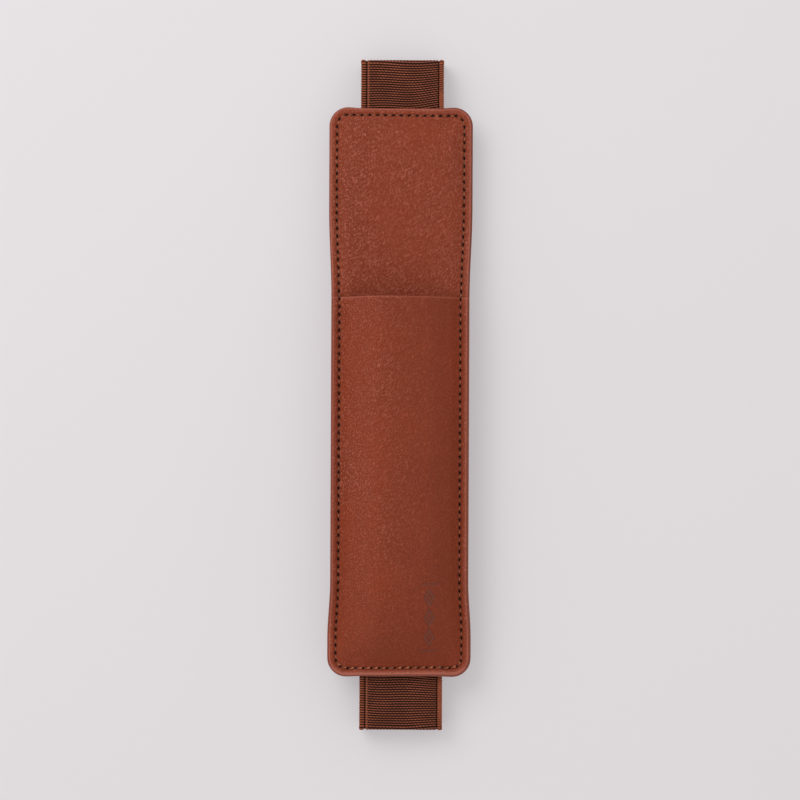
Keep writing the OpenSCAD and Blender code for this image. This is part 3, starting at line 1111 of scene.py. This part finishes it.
@dataclass(frozen=True)
class Sleeve:
    """The leather panels, the pocket's lining and what stiffens them."""

    form: CaseForm
    seam: SeamLine
    back_inset: float = 0.0
    front_inset: float = 0.25 * MM
    rim: float = 0.45 * MM
    lip_rim: float = 0.62 * MM
    rim_cuts: int = 4
    fine: tuple[float, ...] = (
        *(0.0, 0.2, 0.45, 0.75, 1.05, 1.3, 1.52, 1.72, 1.92),
        *(2.12, 2.35, 2.65, 3.0, 3.4, 3.9, 4.5, 5.3),
    )
    lip_fine: tuple[float, ...] = (0.0, 0.3, 0.8, 1.5, 2.4, 3.6, 5.0)
    column_step: float = 1.05 * MM
    row_step: float = 1.3 * MM
    groove: float = 0.30 * MM
    groove_w: float = 0.46 * MM
    pressed: float = 0.08 * MM
    pressed_w: float = 1.3 * MM
    puff: float = 0.05 * MM
    puff_off: float = 0.95 * MM
    edge_drop: float = 0.22 * MM
    edge_w: float = 1.1 * MM
    waver: float = 0.16 * MM
    waver_scale: tuple[float, float] = (55.0, 38.0)
    waver_seed: float = 3.0
    loose_fade: float = 4.0 * MM
    lip_fade: float = 1.0 * MM
    lining_inset: float = 0.6 * MM
    lining_rim: float = 0.1 * MM
    lining_clear: float = 0.02 * MM
    lining_edges: tuple[float, float] = (3.0 * MM, 2.0 * MM)
    lining_steps: tuple[float, float] = (1.4 * MM, 2.5 * MM)
    lining_samples: int = 400

    def sunk(self, x: Array, y: Array, d: Array) -> Array:
        """Works out how far a stitched surface lies below its plain height.

        Args:
            x, y: Places on the rounded plan.
            d: Their distance inside the outline.

        Returns:
            The depth there.
        """
        off = d - self.seam.inset_at(x, y)
        sunk = self.groove * hump(off, self.groove_w) + self.pressed * hump(off, self.pressed_w)
        sunk = sunk - self.puff * hump(off - self.puff_off, self.groove_w)
        return sunk + self.edge_drop * np.clip(1 - d / self.edge_w, 0, 1) ** 2

    def unevenness(self, x: Array, y: Array) -> Array:
        """Slow unevenness of leather that isn't held flat."""
        u, v = x * self.waver_scale[0], y * self.waver_scale[1]
        return np.array([noise.noise(Vector((a, b, self.waver_seed))) for a, b in zip(u, v)]) * self.waver

    @staticmethod
    def rim_pushed(t: Array, lines: Array, out: Array) -> Array:
        """Pushes the coordinates on the first and last plan lines outwards.

        Args:
            t: Plan coordinates.
            lines: The plan lines along that axis.
            out: How far to push each.

        Returns:
            The new coordinates.
        """
        first, last = np.abs(t - lines[0]) < 1e-8, np.abs(t - lines[-1]) < 1e-8
        return t + np.where(first, -out, 0) + np.where(last, out, 0)

    def form_panel(
        self, columns: Array, rows: Array, low: Height, high: Height, rim: float
    ) -> bmesh.types.BMesh:
        """A closed panel between two heights, with a round rim and a map of the seam.

        Args:
            columns, rows: Plan lines out to where the rim starts to turn.
            low, high: Heights over the rounded plan, by x, y and distance inside the outline.
            rim: How far the rim stands out from the last lines.

        Returns:
            The panel's mesh.
        """
        bm = bmesh.new()
        plan_grid(bm, columns, rows, 1.0)
        copy = bmesh.ops.duplicate(bm, geom=bm.verts[:] + bm.edges[:] + bm.faces[:])["geom"]
        bmesh.ops.translate(bm, vec=(0, 0, -1), verts=[v for v in copy if isinstance(v, bmesh.types.BMVert)])
        bmesh.ops.reverse_faces(bm, faces=[f for f in copy if isinstance(f, bmesh.types.BMFace)])
        wall = bmesh.ops.bridge_loops(bm, edges=[e for e in bm.edges if e.is_boundary])["faces"]
        upright = {e for f in wall for e in f.edges if abs(e.verts[0].co.z - e.verts[1].co.z) > 0.5}
        bmesh.ops.subdivide_edges(bm, edges=list(upright), cuts=self.rim_cuts, use_grid_fill=True)

        p, q, level = coordinates(bm).T
        out = rim * np.sqrt(np.clip(1 - (2 * level - 1) ** 2, 0, 1))
        p, q = self.rim_pushed(p, columns, out), self.rim_pushed(q, rows, out)
        x, y = self.form.rounded(p, q)
        d = self.form.edge_distance(p, q)
        bottom = low(x, y, d)
        z = bottom + (high(x, y, d) - bottom) * level
        self.map_seam(bm, p, q, y)
        place(bm, np.column_stack([*self.form.placed(x, y), z]))
        bmesh.ops.recalc_face_normals(bm, faces=bm.faces)
        return bm

    def map_seam(self, bm: bmesh.types.BMesh, p: Array, q: Array, y: Array) -> None:
        """Gives the mesh a map of stitches along the seam and millimetres inwards from it.

        Args:
            bm: The mesh, still on the plan.
            p, q: Places on the square-cornered plan.
            y: Their places along the rounded plan.
        """
        turns = self.seam.turns(p, q)
        inward = (self.form.edge_distance(p, q) - self.seam.inset_at(p, y)) / MM
        layer = bm.loops.layers.uv.new("seam")
        bm.verts.index_update()
        for face in bm.faces:
            highest = max(turns[loop.vert.index] for loop in face.loops)
            for loop in face.loops:
                turn = turns[loop.vert.index]
                turn += self.seam.count if highest - turn > self.seam.count / 2 else 0
                loop[layer].uv = (turn, inward[loop.vert.index])

    def lines(self, inset: float, from_lip: bool = False) -> tuple[Array, Array]:
        """Spaces the plan lines of a panel.

        Args:
            inset: How far its outline lies inside the case's.
            from_lip: Whether it ends at the pocket's lip.

        Returns:
            Its columns and rows.
        """
        fine = [d * MM for d in self.fine]
        reach_w, reach_l = self.form.half_w - inset - self.rim, self.form.half_l - inset - self.rim
        columns = plan_lines(-reach_w, reach_w, fine, fine, self.column_step)
        if from_lip:
            top, top_steps = self.form.lip_y - self.lip_rim, [d * MM for d in self.lip_fine]
        else:
            top, top_steps = reach_l, fine
        return columns, plan_lines(-reach_l, top, fine, top_steps, self.row_step)

    def face_upper(self, x: Array, y: Array, d: Array) -> Array:
        """Shapes the face panel's upper side: stitched above the lip and plain under the pocket.

        Args:
            x, y: Places on the rounded plan.
            d: Their distance inside the outline.

        Returns:
            The height there.
        """
        open_part = ease((y - self.form.lip_y) / self.lip_fade)
        shown = self.form.face_shown(x, y) - self.sunk(x, y, d)
        return open_part * shown + (1 - open_part) * np.minimum(self.form.face_top(x, y), shown)

    def pocket_upper(self, x: Array, y: Array, d: Array) -> Array:
        """Height of the pocket's outer side: stitched along its edge and uneven where it is loose."""
        loose = ease((d - self.form.pressed_w) / self.loose_fade)
        return self.form.pocket_shown(x, y) - self.sunk(x, y, d) + self.unevenness(x, y) * loose

    def build_back(self, finish: bpy.types.Material) -> None:
        """Builds the panel that lies on the cover.

        Args:
            finish: The leather's material.
        """
        form = self.form
        bm = self.form_panel(
            *self.lines(self.back_inset),
            lambda x, y, d: form.back_under(x, y) + self.sunk(x, y, d),
            lambda x, y, d: form.back_top(x, y),
            self.rim,
        )
        piece(bm, "back_leather", finish, ["back_panel"])

    def build_face(self, finish: bpy.types.Material) -> None:
        """Builds the panel behind the pens, stitched where the pocket doesn't cover it.

        Args:
            finish: The leather's material.
        """
        form = self.form
        bm = self.form_panel(
            *self.lines(self.front_inset), lambda x, y, d: form.face_under(x, y), self.face_upper, self.rim
        )
        piece(bm, "face_leather", finish, ["face_panel"])

    def build_pocket(self, finish: bpy.types.Material) -> None:
        """Builds the pocket's leather, with its turned lip.

        Args:
            finish: The leather's material.
        """
        form = self.form
        bm = self.form_panel(
            *self.lines(self.front_inset, from_lip=True),
            lambda x, y, d: form.pocket_under(x, y),
            self.pocket_upper,
            self.lip_rim,
        )
        piece(bm, "pocket_leather", finish, ["pocket_panel"])

    def build_lining(self, finish: bpy.types.Material) -> None:
        """Builds the cloth glued inside the pocket.

        Args:
            finish: The cloth's material.
        """
        form, clear = self.form, self.lining_clear
        half_w, bottom = form.half_w - self.lining_inset, -form.half_l + self.lining_inset
        sewn, hemmed = [0, self.lining_edges[0]], [0, self.lining_edges[1]]
        columns = plan_lines(-half_w, half_w, sewn, sewn, self.lining_steps[0])
        rows = plan_lines(bottom, form.lip_y - form.hem_l, sewn, hemmed, self.lining_steps[1])
        bm = self.form_panel(
            columns,
            rows,
            lambda x, y, d: form.lining_under(x, y) + clear,
            lambda x, y, d: form.lining_top(x, y) - clear,
            self.lining_rim,
        )
        lining = piece(bm, "lining_cloth", finish, ["pocket_lining"])
        x = np.linspace(columns[0], columns[-1], self.lining_samples)
        z = form.lining_under(x, np.zeros_like(x))

    def dress_stiffening(self) -> None:
        """Gives the board and foam between the panels their finishes."""
        board = ClothFinish("fibre_board", (0.36, 0.26, 0.15), (0.30, 0.21, 0.12), 900.0, 0.9)
        foam = ClothFinish("sheet_foam", (0.70, 0.68, 0.62), (0.60, 0.58, 0.53), 1400.0, 0.95)
        for node, finish in (("stiffener_board", board), ("foam_pad", foam)):
            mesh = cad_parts[node].data
            mesh.materials.clear()
            mesh.materials.append(finish.material())

    def build(self) -> None:
        """Builds all of it, from the cover upwards."""
        plain = LeatherFinish("sleeve_leather").material()
        lip_y = self.form.lip_y + self.form.shift_y
        # The pocket's copy of the leather has less painted sheen on its right side and a painted highlight
        # along its lip.
        pocket = LeatherFinish("pocket_leather_finish", sheen=(0.74, 0.2), lip_y=lip_y)
        weave = ClothFinish("lining_weave", (0.030, 0.022, 0.018), (0.018, 0.013, 0.011))
        self.build_back(plain)
        self.dress_stiffening()
        self.build_face(plain)
        self.build_lining(weave.material())
        self.build_pocket(pocket.material(Ornament()))


# ---- Stitching ----


@dataclass(frozen=True)
class Stitching:
    """The two threads of the lockstitched seam, seen on the upper and lower sides."""

    sleeve: Sleeve
    ply_r: float = 0.11 * MM
    ply_off: float = 0.09 * MM
    crown: float = 0.16 * MM
    sink: float = 0.5 * MM
    slant: float = 0.1 * MM
    rings: int = 9
    sides: int = 5
    twist: float = 0.85
    ply_start: float = 0.6
    bottom_bold: float = 0.7
    # The raised bottom stitches' own brown, and the painted highlight on their crowns.
    bold_tone: Colour = (0.245, 0.072, 0.033)
    bold_crown: Colour = (0.540, 0.190, 0.098)
    bottom_lift: float = 0.14 * MM
    lip_fade: float = 1.6 * MM
    knots: tuple[int, int] = (-5, 6)
    knot_r: float = 0.42 * MM
    knot_shape: tuple[float, float, float] = (1.1, 0.85, 0.5)

    def ply(self, bm: bmesh.types.BMesh, start: float, length: float) -> None:
        """Adds one ply of a stitch that runs along X, arched so that both ends go down into the leather.

        Args:
            bm: Where it is added.
            start: Where round the stitch it starts, in radians.
            length: The stitch's length.
        """
        columns = np.linspace(-0.5, 0.5, self.rings)
        rows = np.linspace(0, 2 * math.pi, self.sides + 1)
        layer = bm.loops.layers.uv["ply"]
        made = plan_grid(bm, columns, rows, 0.0)
        for face in {f for v in made for f in v.link_faces}:
            for loop in face.loops:
                loop[layer].uv = (loop.vert.co.x, loop.vert.co.y)
        for v in made:
            t, angle = v.co.x, v.co.y
            turn = start + self.twist * 2 * math.pi * t
            arch = self.crown - (self.crown + self.sink) * abs(2 * t) ** 2
            v.co = (
                t * length,
                self.slant * 2 * t + self.ply_off * math.cos(turn) + self.ply_r * math.cos(angle),
                arch + self.ply_off * math.sin(turn) + self.ply_r * math.sin(angle),
            )

    def template(self, length: float) -> bpy.types.Mesh:
        """Builds one stitch of two plies, to be copied along the seam.

        Args:
            length: Its length.

        Returns:
            The mesh.
        """
        bm = bmesh.new()
        bm.loops.layers.uv.new("ply")
        for start in (self.ply_start, self.ply_start + math.pi):
            self.ply(bm, start, length)
        close(bm)
        return finished(bm, "stitch")

    def surface(self, p: float, q: float, side: Side) -> Vector:
        """Finds the stitched surface at a plan point.

        Args:
            p, q: Places on the square-cornered plan.
            side: The side of the case.

        Returns:
            The point in the object's frame.
        """
        form = self.sleeve.form
        p, q = np.array([p]), np.array([q])
        x, y = form.rounded(p, q)
        sunk = self.sleeve.sunk(x, y, form.edge_distance(p, q))
        if side is Side.LOWER:
            z = form.back_under(x, y) + sunk
        else:
            over = ease((form.lip_y - y) / self.lip_fade + 0.5)
            z = form.face_shown(x, y) + over * (form.pocket_t + form.lining_t) - sunk
        placed = form.placed(x, y)
        return Vector((placed[0][0], placed[1][0], z[0]))

    def at_bottom(self, k: int) -> bool:
        """Whether a stitch is one of the bottom seam's."""
        return self.sleeve.seam.plan_point(k + 0.5)[1] < -self.sleeve.form.half_l + self.sleeve.form.corner_r

    def build_row(
        self, name: str, nodes: list[str], side: Side, finish: bpy.types.Material, stitches: list[int]
    ) -> None:
        """Builds stitches of one side.

        Args:
            name: The piece's name.
            nodes: The CAD nodes that it stands for.
            side: The side of the case.
            finish: The thread's material.
            stitches: Which of the seam's stitches.
        """
        seam = self.sleeve.seam
        mesh = self.template(seam.pitch)
        bm = bmesh.new()
        for k in stitches:
            bold, lift = (1 + self.bottom_bold, self.bottom_lift) if self.at_bottom(k) else (1.0, 0.0)
            a = self.surface(*seam.plan_point(k), side)
            b = self.surface(*seam.plan_point(k + 1), side)
            along = (b - a).normalized()
            up = Vector((0, 0, side.value))
            across = up.cross(along).normalized()
            up = along.cross(across)
            stretch = (b - a).length / seam.pitch
            turn = Matrix((along * stretch, across * bold, up * bold)).transposed().to_4x4()
            first = len(bm.verts)
            bm.from_mesh(mesh)
            bm.verts.ensure_lookup_table()
            middle = (a + b) / 2 + up * lift
            bmesh.ops.transform(bm, matrix=Matrix.Translation(middle) @ turn, verts=bm.verts[first:])
        bpy.data.meshes.remove(mesh)
        piece(bm, name, finish, nodes)

    def build_ties(self, finish: bpy.types.Material) -> None:
        """Builds the two melted knots that end the upper thread in the bottom seam.

        Args:
            finish: The burnt thread's material.
        """
        seam, bm = self.sleeve.seam, bmesh.new()
        for k in self.knots:
            made = bmesh.ops.create_icosphere(bm, subdivisions=2, radius=self.knot_r)["verts"]
            bmesh.ops.scale(bm, vec=self.knot_shape, verts=made)
            middle = self.surface(*seam.plan_point(seam.count // 2 + k), Side.UPPER)
            bmesh.ops.translate(bm, vec=middle, verts=made)
        piece(bm, "thread_knots", finish)

    def build(self) -> None:
        """Builds both threads and their knots."""
        finish = ThreadFinish("brown_thread").material()
        # The raised stitches get a bolder painted highlight, shifted along each stitch.
        bold = ThreadFinish(
            "raised_thread",
            self.bold_crown,
            self.bold_tone,
            peak=-0.2,
            crown_l=(0.06, 0.3),
            shown_l=(0.34, 0.46),
        )
        burnt = ClothFinish("burnt_thread", (0.012, 0.007, 0.007), (0.006, 0.004, 0.004), 3000.0, 0.45)
        every = list(range(self.sleeve.seam.count))
        raised = [k for k in every if self.at_bottom(k)]
        level = [k for k in every if k not in raised]
        self.build_row("upper_stitches", ["needle_thread"], Side.UPPER, finish, level)
        self.build_row("raised_stitches", [], Side.UPPER, bold.material(), raised)
        self.build_row("lower_stitches", ["bobbin_thread"], Side.LOWER, finish, every)
        self.build_ties(burnt.material())


# ---- Elastic band ----


@dataclass(frozen=True)
class ElasticBand:
    """The woven band, from between the panels at one end of the case round to the other."""

    form: CaseForm
    rib_pitch: float = 0.735 * MM
    rows_per_rib: int = 4
    width: float = 26.4 * MM
    thickness: float = 1.2 * MM
    edge_w: float = 1.55 * MM
    rib_depth: float = 0.075 * MM
    edge_depth: float = 0.12 * MM
    scallop: float = 0.13 * MM
    aside: tuple[float, float] = (0.37 * MM, 0.62 * MM)
    bead: float = BEAD_MM * MM
    bead_share: float = 0.9
    field_fade: float = 0.6 * MM
    scallop_from: float = 12.8 * MM
    scallop_fade: float = 0.3 * MM
    sway: float = 1.1 * MM
    sway_scale: tuple[float, float] = (75.0, 42.0)
    sway_seed: float = 1.7
    sway_fade: float = 4.0 * MM
    fold_r: float = 1.1 * MM
    bend_r: float = 6.0 * MM

    @property
    def nodes(self) -> list[str]:
        """The CAD nodes that the band stands for."""
        return sorted(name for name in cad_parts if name.startswith("elastic_"))

    def section(self) -> Array:
        """Draws the closed cross-section, the beaded outer face first.

        Returns:
            Its points, across and up, in metres.
        """
        edge = [(-13.2, 0.0), (-13.1, 0.3), (-12.85, 0.47), (-12.4, 0.55), (-11.95, 0.49), (-11.65, 0.3)]
        left = edge + [(-11.45, 0.16), (-11.15, 0.18), (-10.98, 0.42), (-10.75, 0.47), (-10.5, 0.42)]
        step = self.bead / MM / 2
        middle = [(k * step, 0.45) for k in range(-19, 22)]
        right = [(11.25, 0.36), (11.35, 0.18), (11.5, 0.16)] + [(-x, z) for x, z in reversed(edge)]
        inner = [(x, -0.45) for x in np.linspace(11, -11, 12)]
        lower = [(x, -z) for x, z in right[-2:2:-1]] + inner + [(x, -z) for x, z in edge[:0:-1]]
        return np.array(left + middle + right + lower) * MM

    def legs(self) -> list[tuple[float, float]]:
        """Lays out the band from the tuck at the top to the tuck at the bottom.

        Returns:
            The length of each leg and the angle that it turns.
        """
        edge = max(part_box(name)[1].y for name in self.nodes) - self.thickness / 2 - self.fold_r
        leg_low, leg_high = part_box("elastic_top_leg")
        stack_z = self.form.cover_z + self.form.back_t + self.thickness / 2
        right = math.pi / 2

        def half(end: float) -> list[tuple[float, float]]:
            """Lays out the run from one tuck to the corner under the cover.

            Args:
                end: How far from the middle the panels end.

            Returns:
                The legs of that half.
            """
            run, rise = edge - end, self.bend_r - (stack_z - leg_high.z)
            span = math.hypot(run, rise)
            angle = math.asin((self.bend_r - self.fold_r) / span) - math.atan2(rise, run)
            return [
                (self.form.tape_tuck, 0.0),
                (self.bend_r * angle, angle),
                (math.sqrt(span**2 - (self.bend_r - self.fold_r) ** 2), 0.0),
                (self.fold_r * (right - angle), right - angle),
                (leg_high.z - leg_low.z, 0.0),
                (self.fold_r * right, right),
            ]

        top, bottom = (half(self.form.half_l + shift) for shift in (self.form.shift_y, -self.form.shift_y))
        return [*top, (2 * edge, 0.0), *reversed(bottom)]

    def run(self, s: Array) -> tuple[Array, Array, Array]:
        """Where the band's middle line is.

        Args:
            s: Distances along the band from its end at the top.

        Returns:
            Y, Z and heading, which is 0 along +Y and grows as the band turns down.
        """
        y = self.form.half_l + self.form.shift_y - self.form.tape_tuck
        z = self.form.cover_z + self.form.back_t + self.thickness / 2
        heading, start = 0.0, 0.0
        ys, zs, angles = (np.zeros_like(s) for _ in range(3))
        for k, (length, turn) in enumerate(self.legs()):
            here = (s >= start) if k else np.ones_like(s, bool)
            t = s - start
            rate = turn / length
            if turn:
                angle = heading + rate * t
                dy = (np.sin(angle) - math.sin(heading)) / rate
                dz = (np.cos(angle) - math.cos(heading)) / rate
            else:
                angle = np.full_like(s, heading)
                dy, dz = t * math.cos(heading), -t * math.sin(heading)
            ys = np.where(here, y + dy, ys)
            zs = np.where(here, z + dz, zs)
            angles = np.where(here, angle, angles)
            if turn:
                y += (math.sin(heading + turn) - math.sin(heading)) / rate
                z += (math.cos(heading + turn) - math.cos(heading)) / rate
            else:
                y, z = y + length * math.cos(heading), z - length * math.sin(heading)
            heading, start = heading + turn, start + length
        return ys, zs, angles

    def rows(self, lengths: list[float]) -> Array:
        """Places of the rows of points, in ribs, with half as many on the hidden back run.

        Args:
            lengths: The lengths of the band's legs.

        Returns:
            The places in rising order.
        """
        total = sum(lengths)
        back_l = total - 2 * sum(lengths[: len(lengths) // 2])
        steps = np.arange(round(total / self.rib_pitch * self.rows_per_rib) + 1)
        hidden = np.abs(steps / steps[-1] - 0.5) * total < back_l / 2
        return steps[~hidden | (steps % 2 == 0)] / self.rows_per_rib

    def woven(self, across: Array, up: Array, ribs: Array) -> tuple[Array, Array]:
        """Works ribs, beads and scalloped edges into the section.

        Args:
            across, up: Plain points of the section.
            ribs: Where along the band they are, in ribs.

        Returns:
            The points, across and up.
        """
        beads = np.cos(2 * np.pi * (across / self.bead + ribs / 2))
        wave = np.cos(2 * np.pi * ribs)
        middle = np.clip((self.width / 2 - self.edge_w - np.abs(across)) / self.field_fade, 0, 1)
        rise = middle * self.rib_depth * wave * (1 + self.bead_share * beads)
        rise = rise + (1 - middle) * self.edge_depth * wave
        outline = np.clip((np.abs(across) - self.scallop_from) / self.scallop_fade, 0, 1)
        outline = outline * self.scallop * (wave - 1)
        return across + np.sign(across) * outline, up + np.sign(up) * rise

    def swayed(self, across: Array, s: Array, total: float) -> Array:
        """Lets the ribs sway a little out of line, but for the band's two ends.

        Args:
            across: Places across the band.
            s: Distances along it.
            total: Its whole length.

        Returns:
            The new distances.
        """
        ends = np.clip(np.minimum(s, total - s) / self.sway_fade, 0, 1)
        u, v = across * self.sway_scale[0], s * self.sway_scale[1]
        drift = np.array([noise.noise(Vector((a, b, self.sway_seed))) for a, b in zip(u, v)])
        return np.clip(s + drift * self.sway * ends, 0, total)

    def build(self) -> None:
        """Builds the band as one woven strap, left without a parent body."""
        section = self.section()
        lengths = [length for length, _ in self.legs()]
        total = sum(lengths)
        rows = self.rows(lengths)
        bm = bmesh.new()
        plan_grid(bm, np.arange(len(section) + 1), np.arange(len(rows)), 0.0)
        i, j, _ = np.rint(coordinates(bm)).astype(int).T
        across, up = section[i % len(section)].T
        ribs = rows[j]
        y, z, angle = self.run(self.swayed(across, ribs / ribs.max() * total, total))
        x, up = self.woven(across, up, ribs)
        skew = np.clip(0.5 - y / (2 * self.form.half_l), 0, 1)
        x = x + self.aside[0] + (self.aside[1] - self.aside[0]) * skew
        place(bm, np.column_stack([x, y + up * np.sin(angle), z + up * np.cos(angle)]))
        layer = bm.loops.layers.uv.new("weave")
        bm.verts.index_update()
        for face in bm.faces:
            for loop in face.loops:
                k = loop.vert.index
                loop[layer].uv = (across[k] / MM, ribs[k])
        close(bm)
        finish = ElasticFinish("woven_elastic").material()
        band = piece(bm, "woven_band", finish, self.nodes, body=None)
        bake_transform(band)


# ---- Floor, light and camera ----


@dataclass(frozen=True)
class Studio:
    """A pale floor under soft light, with the camera straight above."""

    floor_tone: Colour = (0.76, 0.728, 0.745)
    floor_glow: float = 0.42
    floor_size: float = 6.0
    floor_gap: float = 0.1 * MM
    lens: float = 100.0
    sensor: float = 36.0
    view_side: float = 0.2526
    view_centre: tuple[float, float] = (0.0, -1.6 * MM)
    view_height: float = 9.5 * MM
    roll: float = math.radians(0.25)
    sky_fade: tuple[float, float] = (0.5, 0.92)
    sky_low: float = 0.9
    sky_high: float = 0.48
    key_place: tuple[float, float, float] = (-0.42, 0.50, 0.72)
    key_size: float = 0.6
    key_power: float = 4.1

    def build_floor(self) -> None:
        """Builds the floor."""
        bm = bmesh.new()
        under = Matrix.Translation((0, 0, -self.floor_gap))
        bmesh.ops.create_grid(bm, x_segments=2, y_segments=2, size=self.floor_size / 2, matrix=under)
        mesh = finished(bm, "floor")
        floor = linked("floor", mesh)
        lit = tuple(c * (1 - self.floor_glow) for c in self.floor_tone)
        look = {"Base Color": lit, "Roughness": 0.85, "Specular IOR Level": 0.1}
        glow = {"Emission Color": self.floor_tone, "Emission Strength": self.floor_glow}
        mesh.materials.append(MaterialGraph("pale_floor").finish(look | glow))

    def build_light(self) -> None:
        """Builds one large soft lamp high on the upper left and a sky that is dimmer overhead."""
        world = bpy.data.worlds.new("studio")
        world.use_nodes = True
        sky = Graph(world.node_tree)
        height = sky.node("ShaderNodeSeparateXYZ", None, {0: sky.node("ShaderNodeTexCoord")}, output=2)
        background = world.node_tree.nodes["Background"]
        background.inputs[0].default_value = (1.0, 1.0, 1.0, 1.0)
        sky.feed(background.inputs[1], height.step(*self.sky_fade, self.sky_low, self.sky_high))
        bpy.context.scene.world = world
        key = bpy.data.lights.new("key", "AREA")
        key.shape = "RECTANGLE"
        key.size = self.key_size
        key.size_y = self.key_size
        key.energy = self.key_power
        lamp = linked("key", key)
        lamp.location = self.key_place
        lamp.rotation_euler = (-Vector(lamp.location)).to_track_quat("-Z", "Y").to_euler()

    def build_camera(self) -> None:
        """Builds the camera above the case, turned to its slight slant."""
        data = bpy.data.cameras.new("camera")
        data.lens = self.lens
        data.sensor_width = self.sensor
        camera = linked("camera", data)
        height = self.view_height + self.lens / self.sensor * self.view_side
        camera.location = (*self.view_centre, height)
        camera.rotation_euler = (0.0, 0.0, self.roll)
        bpy.context.scene.camera = camera

    def build(self) -> None:
        """Builds the whole studio."""
        bpy.context.scene.view_settings.view_transform = "Standard"
        self.build_floor()
        self.build_light()
        self.build_camera()


def main() -> None:
    """Builds the case over its frame, then the studio."""
    logging.basicConfig(level=logging.INFO, format="%(message)s")
    form = CaseForm.from_frame()
    sleeve = Sleeve(form, SeamLine(form))
    Studio().build()
    sleeve.build()
    Stitching(sleeve).build()
    ElasticBand(form).build()


if __name__ == "__main__":
    main()
